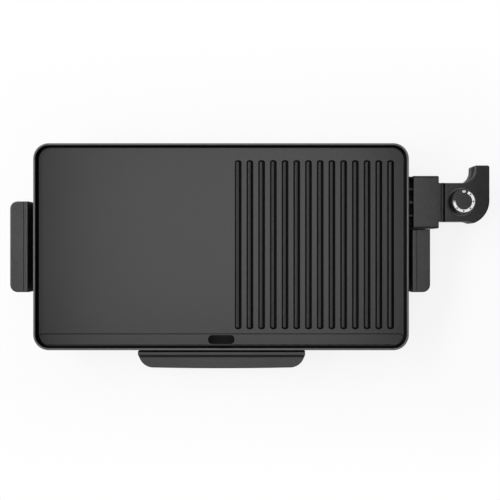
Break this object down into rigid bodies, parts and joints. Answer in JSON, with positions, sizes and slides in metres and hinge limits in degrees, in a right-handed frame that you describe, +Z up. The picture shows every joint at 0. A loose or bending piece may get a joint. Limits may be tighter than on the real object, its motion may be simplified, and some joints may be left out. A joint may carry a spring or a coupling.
{
  "type": "electric griddle",
  "caption": "Electric table griddle with a half flat, half ridged non-stick plate, side grips, pull-out drip tray and a plug-in control probe with a temperature dial.",
  "frame": {"origin": "centre of the bounding box on the table, at the underside of the feet", "axes": "+X along the plate towards the control probe, +Y to the back, away from the drip tray, +Z up"},
  "size_m": [0.6086, 0.285, 0.0765],
  "materials": {
    "nonstick": "cast aluminium under a dark satin non-stick coating",
    "black_plastic": "black moulded plastic with a fine satin grain",
    "steel": "plain steel",
    "sheath": "heat-dulled steel tube",
    "ceramic": "unglazed ceramic, off-white",
    "phenolic": "brown heat-proof moulding",
    "brass": "plain brass",
    "rubber": "black rubber"
  },
  "bodies": {
    "griddle": {"griddle_plate": "nonstick", "heating_element": "sheath", "terminal_pins": "steel", "pin_insulators": "ceramic", "socket_bracket": "steel", "bracket_screws": "steel", "left_stand": "black_plastic", "right_stand": "black_plastic", "stand_spacers": "phenolic", "stand_screws": "steel", "rubber_feet": "rubber", "left_tray_rail": "steel", "right_tray_rail": "steel", "rail_screws": "steel"},
    "tray": {"drip_tray": "black_plastic"},
    "control_probe": {"probe_hood": "black_plastic", "upper_shell": "black_plastic", "lower_shell": "black_plastic", "shell_screws": "steel", "cord_gland": "rubber", "contact_block": "phenolic", "contact_sockets": "brass", "sensor_rod": "steel", "thermostat_frame": "steel", "ceramic_stack": "ceramic", "contact_leaves": "brass", "contact_points": "brass", "stack_rivet": "steel"},
    "dial": {"temperature_dial": "black_plastic", "dial_spindle": "steel"}
  },
  "joints": [
    {"name": "tray_slide", "type": "slide", "parent": "griddle", "child": "tray", "axis": [0, -1, 0], "range_m": [0, 0.14]},
    {"name": "probe_unplug", "type": "slide", "parent": "griddle", "child": "control_probe", "axis": [1, 0, 0], "range_m": [0, 0.1]},
    {"name": "dial_turn", "type": "hinge", "parent": "control_probe", "child": "dial", "pos_m": [0.2672, 0.0694, 0.068], "axis": [0, 0, 1], "range_deg": [-315, 0]}
  ]
}
